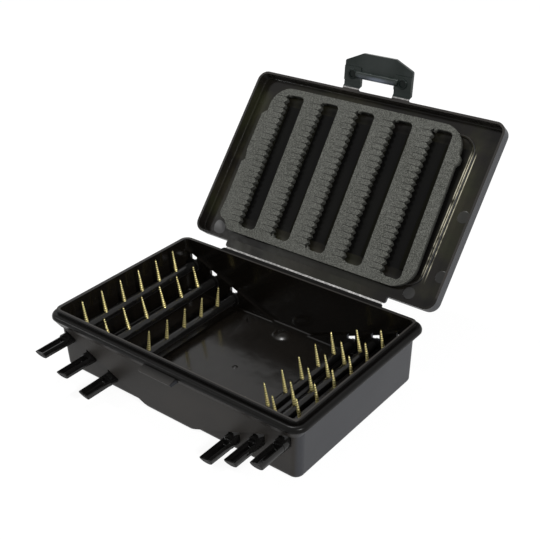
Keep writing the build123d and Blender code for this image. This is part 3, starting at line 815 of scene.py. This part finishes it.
FOAM_SIZE = Vector((128.0, 92.2)) * MM
FOAM_THICKNESS = 3.2 * MM
FOAM_CORNER = 13.0 * MM
FOAM_CENTRE = Vector((-2.0, 0.2)) * MM      # in the shut lid
FOAM_SKEW = 0.04                # shift to one side, as a share of the way along a slot
SLOTS = 5
SLOT_PITCH = 24.65 * MM
SLOT_SIZE = Vector((11.7, 84.3)) * MM
SLOT_CORNER = 3.0 * MM
SLITS = 24                      # to a slot
SLIT_PITCH = 3.5 * MM
SLIT_DEPTH = 7.8 * MM
SLIT_WIDTH = 0.3 * MM
SLIT_WANDER = 0.5 * MM          # how far a slit lies from its place, at most
SLIT_DRIFT = 0.3                # share of that which goes along the slot
SLIT_SEED = 7
TOOTH_DEPTH = 1.35 * MM
TOOTH_FLAT = 0.25 * MM
CUTTER_PROUD = 0.6 * MM         # how far a cutter stands out of the rib
MERGE = 0.01 * MM               # points closer than this are one
CORNER_STEPS = 8
HAND_CUT = ((-58.0, 46.3), (-62.9, 46.0), (-66.1, 41.6), (-69.8, 40.1), (-71.6, 37.6), (-70.8, 30.0),
            (-70.5, 4.6), (-68.4, 2.5), (-69.8, -3.8), (-69.2, -27.0),
            (-66.0, -29.7))     # mm, from the corner by the hinge along the left side
SNAG = ((62.0, -31.5), (63.7, -29.5), (63.5, -26.5), (62.0, -24.5))     # mm, torn bump on the right side


def rounded_outline(size, radius, centre=(0.0, 0.0)):
    """Points round a rectangle with rounded corners, anticlockwise."""
    points = []
    for i, (sx, sy) in enumerate(((1, 1), (-1, 1), (-1, -1), (1, -1))):
        corner = Vector((sx * (size.x / 2 - radius), sy * (size.y / 2 - radius))) + Vector(centre)
        for k in range(CORNER_STEPS + 1):
            angle = pi / 2 * (i + k / CORNER_STEPS)
            points.append(corner + radius * Vector((cos(angle), sin(angle))))
    return points


def foam_outline():
    """The slab's outline: rounded, with its left side and one corner cut by hand."""
    rounded = rounded_outline(FOAM_SIZE, FOAM_CORNER, FOAM_CENTRE)
    corner = CORNER_STEPS + 1
    cut, snag = ([Vector(point) * MM for point in points] for points in (HAND_CUT, SNAG))
    return rounded[:corner] + cut + rounded[2 * corner:] + snag


def outline_curve(name, outlines, thickness):
    """Flat 2-D curve that fills between closed outlines, with a thickness."""
    curve = bpy.data.curves.new(name, "CURVE")
    curve.dimensions = "2D"
    curve.fill_mode = "BOTH"
    curve.extrude = thickness / 2
    for outline in outlines:
        spline = curve.splines.new("POLY")
        spline.points.add(len(outline) - 1)
        for point, (x, y) in zip(spline.points, outline):
            point.co = (x, y, 0, 1)
        spline.use_cyclic_u = True
    return curve


def foam_blank(thickness):
    """The foam as it lies flat, with its slots and no slits."""
    centres = [(i - (SLOTS - 1) / 2) * SLOT_PITCH for i in range(SLOTS)]
    holes = [rounded_outline(SLOT_SIZE, SLOT_CORNER, (centre, 0)) for centre in centres]
    curve = outline_curve("foam_outline", [foam_outline()] + holes, thickness)
    holder = add_object("foam_outline", curve)
    evaluated = holder.evaluated_get(bpy.context.evaluated_depsgraph_get())
    mesh = bpy.data.meshes.new_from_object(evaluated)
    bpy.data.objects.remove(holder)
    return facing_out(mesh, MERGE)


def slit_cutter(thickness):
    """Wedge that cuts one notch between two teeth and the slit behind it; its mouth is at x = 0."""
    half = (SLIT_PITCH - TOOTH_FLAT) / 2
    upper = [(CUTTER_PROUD, half), (0.0, half), (-TOOTH_DEPTH, SLIT_WIDTH / 2),
             (-SLIT_DEPTH, SLIT_WIDTH / 4)]
    lower = [(x, -y) for x, y in reversed(upper)]
    outline = lower[-1:] + upper + lower[:-1]
    count = len(outline)
    verts = [(x, y, z) for z in (-thickness, thickness) for x, y in outline]
    sides = [(i, (i + 1) % count, (i + 1) % count + count, i + count) for i in range(count)]
    mesh = bpy.data.meshes.new("slit_cutter")
    mesh.from_pydata(verts, [], sides + [tuple(range(count)), tuple(range(count, 2 * count))])
    return facing_out(mesh)


def slit_foam_tree():
    """Cuts a grid of notches and slits into a blank, each a little off its place."""
    sockets = {"Cutter": "Object", "Slots": "Int", "Slot Pitch": "Float", "Slits": "Int",
               "Slit Pitch": "Float", "Mouth": "Float", "Wander": "Float", "Seed": "Int",
               "Material": "Material"}
    g, given = geometry_tree("slit_foam", sockets)
    width = (given.out("Slots") - 1) * given.out("Slot Pitch")
    depth = (given.out("Slits") - 1) * given.out("Slit Pitch")
    grid = g.node("GeometryNodeMeshGrid", {}, {
        "Size X": width, "Size Y": depth,
        "Vertices X": given.out("Slots"), "Vertices Y": given.out("Slits")})
    far = given.out("Wander")
    lowest = g.vector(X=far * -1.0, Y=far * -SLIT_DRIFT)
    highest = g.vector(X=far, Y=far * SLIT_DRIFT)
    wander = g.node("FunctionNodeRandomValue", {"data_type": "FLOAT_VECTOR"}, {
        "Min": lowest, "Max": highest, "Seed": given.out("Seed")})
    mouth = g.vector(X=given.out("Mouth"))
    shift = g.node("ShaderNodeVectorMath", {"operation": "ADD"}, {0: mouth, 1: wander})
    places = g.node("GeometryNodeSetPosition", {}, {"Geometry": grid, "Offset": shift})
    cutter = g.node("GeometryNodeObjectInfo", {}, {"Object": given.out("Cutter")}).out("Geometry")
    cutters = g.node("GeometryNodeInstanceOnPoints", {}, {"Points": places, "Instance": cutter})
    cutters = g.node("GeometryNodeRealizeInstances", {}, {"Geometry": cutters})
    foam = g.node("GeometryNodeMeshBoolean", {"operation": "DIFFERENCE", "solver": "EXACT"}, {
        "Mesh 1": given.out("Geometry"), "Mesh 2": cutters})
    foam = g.node("GeometryNodeSetMaterial", {}, {"Geometry": foam, "Material": given.out("Material")})
    g.node("NodeGroupOutput", {}, {"Geometry": foam})
    return g.tree


def add_foam():
    """Makes the foam lying flat, skews it, and sets it in the lid where the CAD foam is stuck."""
    seat = shut_box("foam_insert")[1].z
    cutter = add_object("slit_cutter", slit_cutter(FOAM_THICKNESS))
    blank = add_object("foam_blank", foam_blank(FOAM_THICKNESS))
    values = {"Cutter": cutter, "Slots": SLOTS, "Slot Pitch": SLOT_PITCH, "Slits": SLITS,
              "Slit Pitch": SLIT_PITCH, "Mouth": -SLOT_SIZE.x / 2, "Wander": SLIT_WANDER,
              "Seed": SLIT_SEED, "Material": foam_finish()}
    foam = finished("slit_foam", blank, slit_foam_tree(), values)
    bpy.data.objects.remove(cutter)
    seated = Matrix.Translation((0, 0, seat - FOAM_THICKNESS / 2))
    foam.data.transform(SHUT_TO_OPEN @ seated @ Matrix.Shear("XZ", 4, (FOAM_SKEW, 0)))
    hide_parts("foam_insert")
    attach(foam, "lid")


# Film hinges: thin straight strips between two bodies

FILM = 0.3 * MM         # thickness
LID_FILM = 1.0 * MM     # width
LATCH_FILM = 0.8 * MM   # width
FILM_STEPS = 8


def film_strip(name, node, start, end, material):
    """Strip as long as the CAD film, from the line at start to the line at end, as (y, z)."""
    low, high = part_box(node)
    a, b = Vector((0, *start)), Vector((0, *end))
    across = (b - a).cross(Vector((1, 0, 0))).normalized() * FILM / 2
    verts = []
    for i in range(FILM_STEPS + 1):
        middle = a.lerp(b, i / FILM_STEPS)
        for side in (across, -across):
            verts += [(low.x, *(middle + side).yz), (high.x, *(middle + side).yz)]
    faces = []
    for i in range(FILM_STEPS):
        k = 4 * i
        faces += [(k, k + 1, k + 5, k + 4), (k + 2, k + 6, k + 7, k + 3),
                  (k, k + 4, k + 6, k + 2), (k + 1, k + 3, k + 7, k + 5)]
    last = 4 * FILM_STEPS
    faces += [(0, 2, 3, 1), (last, last + 1, last + 3, last + 2)]
    mesh = bpy.data.meshes.new(name)
    mesh.from_pydata(verts, [], faces)
    mesh.materials.append(material)
    strip = add_object(name, facing_out(mesh))
    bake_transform(strip)
    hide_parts(node)


def add_films(material):
    """One strip between tray and lid, and two between lid and latch."""
    lid_half = LID_FILM / 2
    start = LID_HINGE + Vector((0, -lid_half, -FILM))
    end = LID_HINGE + LID_UP * lid_half - LID_OUT * FILM
    film_strip("lid_film", "lid_hinge_film", start.yz, end.yz, material)
    start = LATCH_HINGE - LID_UP * LATCH_FILM / 2
    end = LATCH_HINGE + LATCH_UP * LATCH_FILM / 2
    for side in SIDES:
        name = f"latch_film_{side}"
        film_strip(name + "_strip", name, start.yz, end.yz, material)


# ---------------------------------------------------------------------------------------------
# Putting it together
# ---------------------------------------------------------------------------------------------

def dress_frame():
    """Gives each node that stays visible its finish."""
    finishes = {"base_tray": tray_plastic(), "lid_shell": lid_plastic(), "latch": latch_plastic(),
                "foam_tape": tape_backing()}
    rods = spindle_plastic()
    for side in SIDES:
        for rank in RANKS:
            finishes[f"spindle_{side}_{rank}"] = rods
    for node, material in finishes.items():
        frame["nodes"][node].material_slots[0].material = material


bpy.context.scene.view_settings.view_transform = "Standard"
add_camera()
set_world()
add_floor()
add_lamps()
dress_frame()
add_pins(pin_row_tree(), pin_brass())
add_foam()
add_films(film_plastic())
